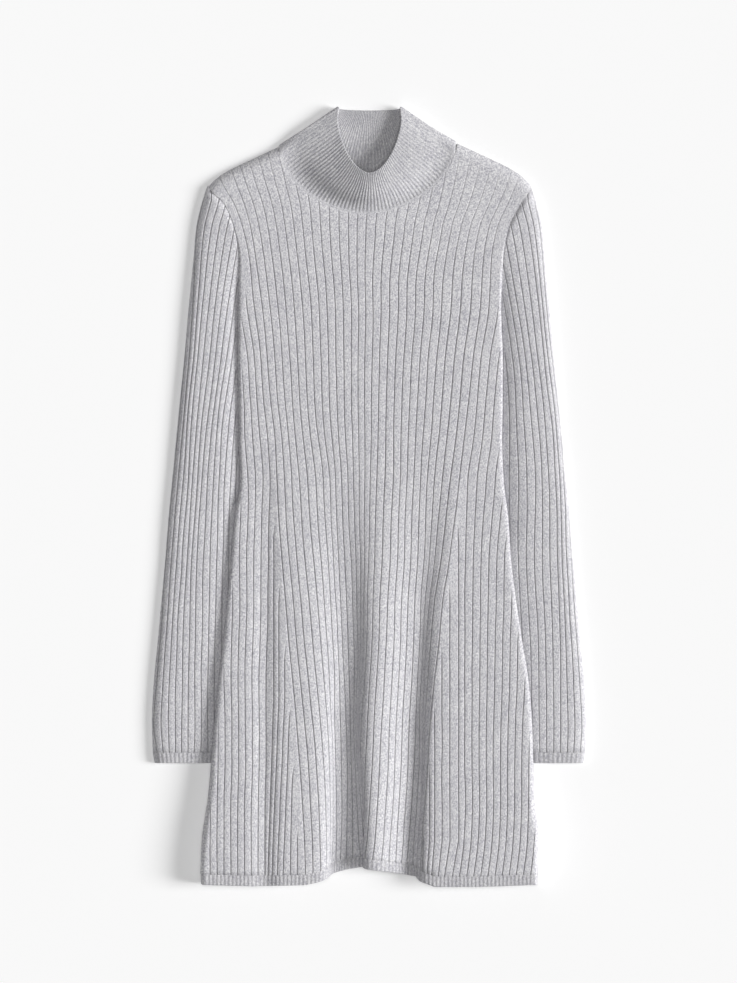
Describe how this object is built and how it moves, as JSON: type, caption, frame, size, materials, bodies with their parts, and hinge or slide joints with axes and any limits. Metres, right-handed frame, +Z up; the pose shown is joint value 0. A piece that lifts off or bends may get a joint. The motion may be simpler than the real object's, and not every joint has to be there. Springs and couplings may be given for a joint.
{
  "type": "sweater dress",
  "caption": "Long-sleeved ribbed knit dress with a finely ribbed stand collar and a flared skirt, laid flat on its back.",
  "frame": {"origin": "middle of the bottom of the dress's box, on the surface that it lies on", "axes": "+Y towards the collar, +X to the right as seen from above, +Z up from the surface, out of the front"},
  "size_m": [0.4904, 0.8801, 0.0326],
  "materials": {
    "wide_rib_knit": "heather grey wide rib knit, matt",
    "fine_rib_knit": "heather grey fine rib knit, matt"
  },
  "bodies": {
    "root": {"front": "wide_rib_knit", "back": "wide_rib_knit", "sleeve_left": "wide_rib_knit", "sleeve_right": "wide_rib_knit", "collar": "fine_rib_knit", "hem_welt_front": "fine_rib_knit", "hem_welt_back": "fine_rib_knit", "cuff_left": "fine_rib_knit", "cuff_right": "fine_rib_knit"}
  },
  "joints": []
}
